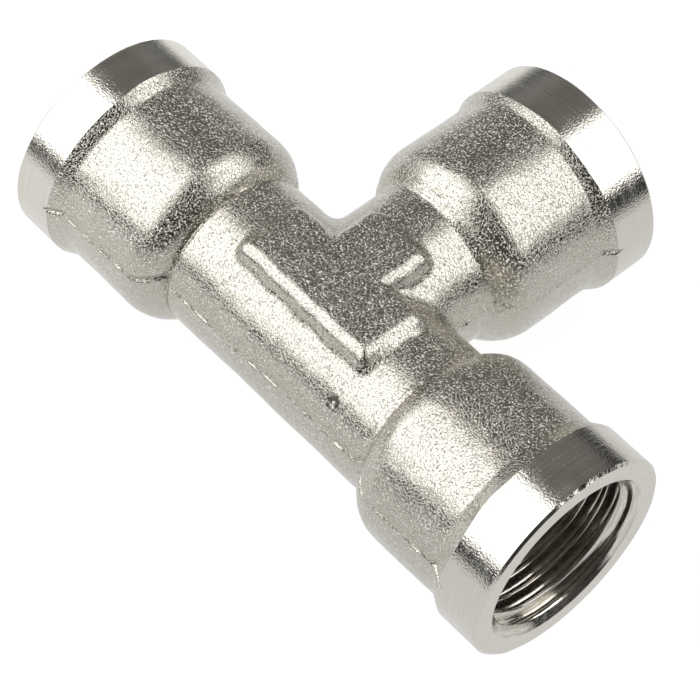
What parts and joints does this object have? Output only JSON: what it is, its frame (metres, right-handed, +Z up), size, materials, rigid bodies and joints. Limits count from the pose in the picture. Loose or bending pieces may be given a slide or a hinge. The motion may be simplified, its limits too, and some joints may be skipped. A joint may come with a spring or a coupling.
{
  "type": "pipe tee",
  "caption": "Equal pipe tee: a nickel-plated brass forging with female parallel-thread ports, turned bands at their ends and flat pads on its hub.",
  "frame": {"origin": "under the middle of the outline, on the plane that the three forged beads rest on", "axes": "+X along the run, +Y along the branch, +Z up out of the hub pad"},
  "size_m": [0.074, 0.0502, 0.0265],
  "materials": {
    "nickel_plated_brass": "nickel plating over brass: shot-blasted forging skin, bright turned bands and end faces"
  },
  "bodies": {
    "root": {"tee_body": "nickel_plated_brass"}
  },
  "joints": []
}
